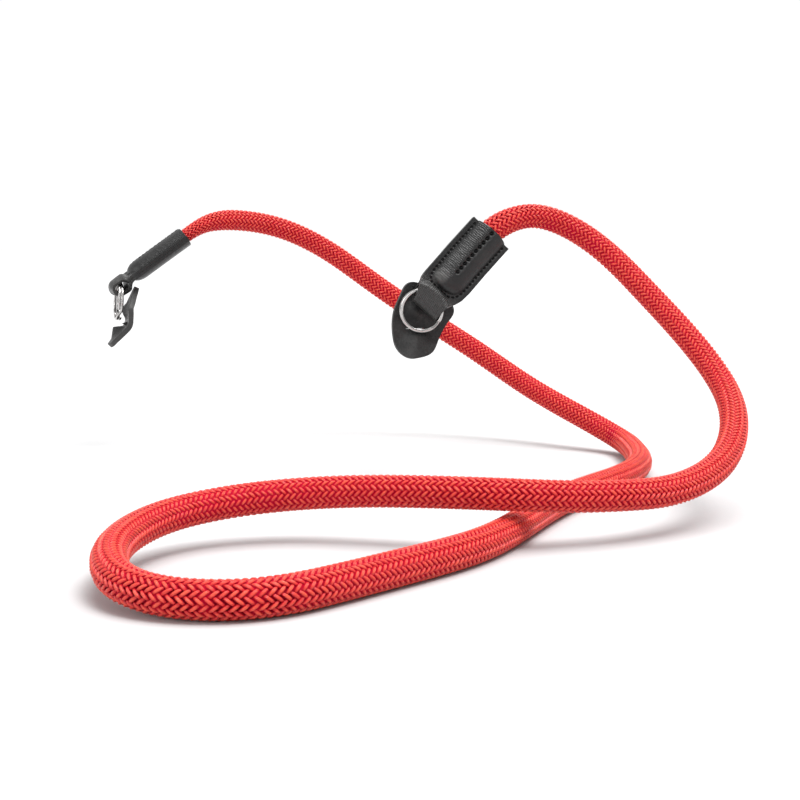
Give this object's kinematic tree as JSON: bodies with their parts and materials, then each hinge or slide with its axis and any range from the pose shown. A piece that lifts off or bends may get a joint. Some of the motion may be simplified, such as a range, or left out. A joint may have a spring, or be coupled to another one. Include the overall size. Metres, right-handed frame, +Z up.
{
  "type": "camera neck strap",
  "caption": "Round braided neck strap with a stitched leather end, a split ring and a leather guard at each end, held as if hung from two lugs.",
  "frame": {"origin": "inside bottom of the right split ring, where the strap bears on the lug that it hangs on", "axes": "+X from the left ring towards the right one, +Y away from the front and towards the back, +Z up"},
  "size_m": [0.2413, 0.3366, 0.1023],
  "materials": {
    "braid": "woven round braid, matte with a slight sheen",
    "end_leather": "satin",
    "ring_steel": "polished",
    "guard_leather": "satin"
  },
  "bodies": {
    "root": {"rope": "braid", "leather_end_left": "end_leather", "leather_end_right": "end_leather", "split_ring_left": "ring_steel", "split_ring_right": "ring_steel", "guard_left": "guard_leather", "guard_right": "guard_leather"}
  },
  "joints": []
}
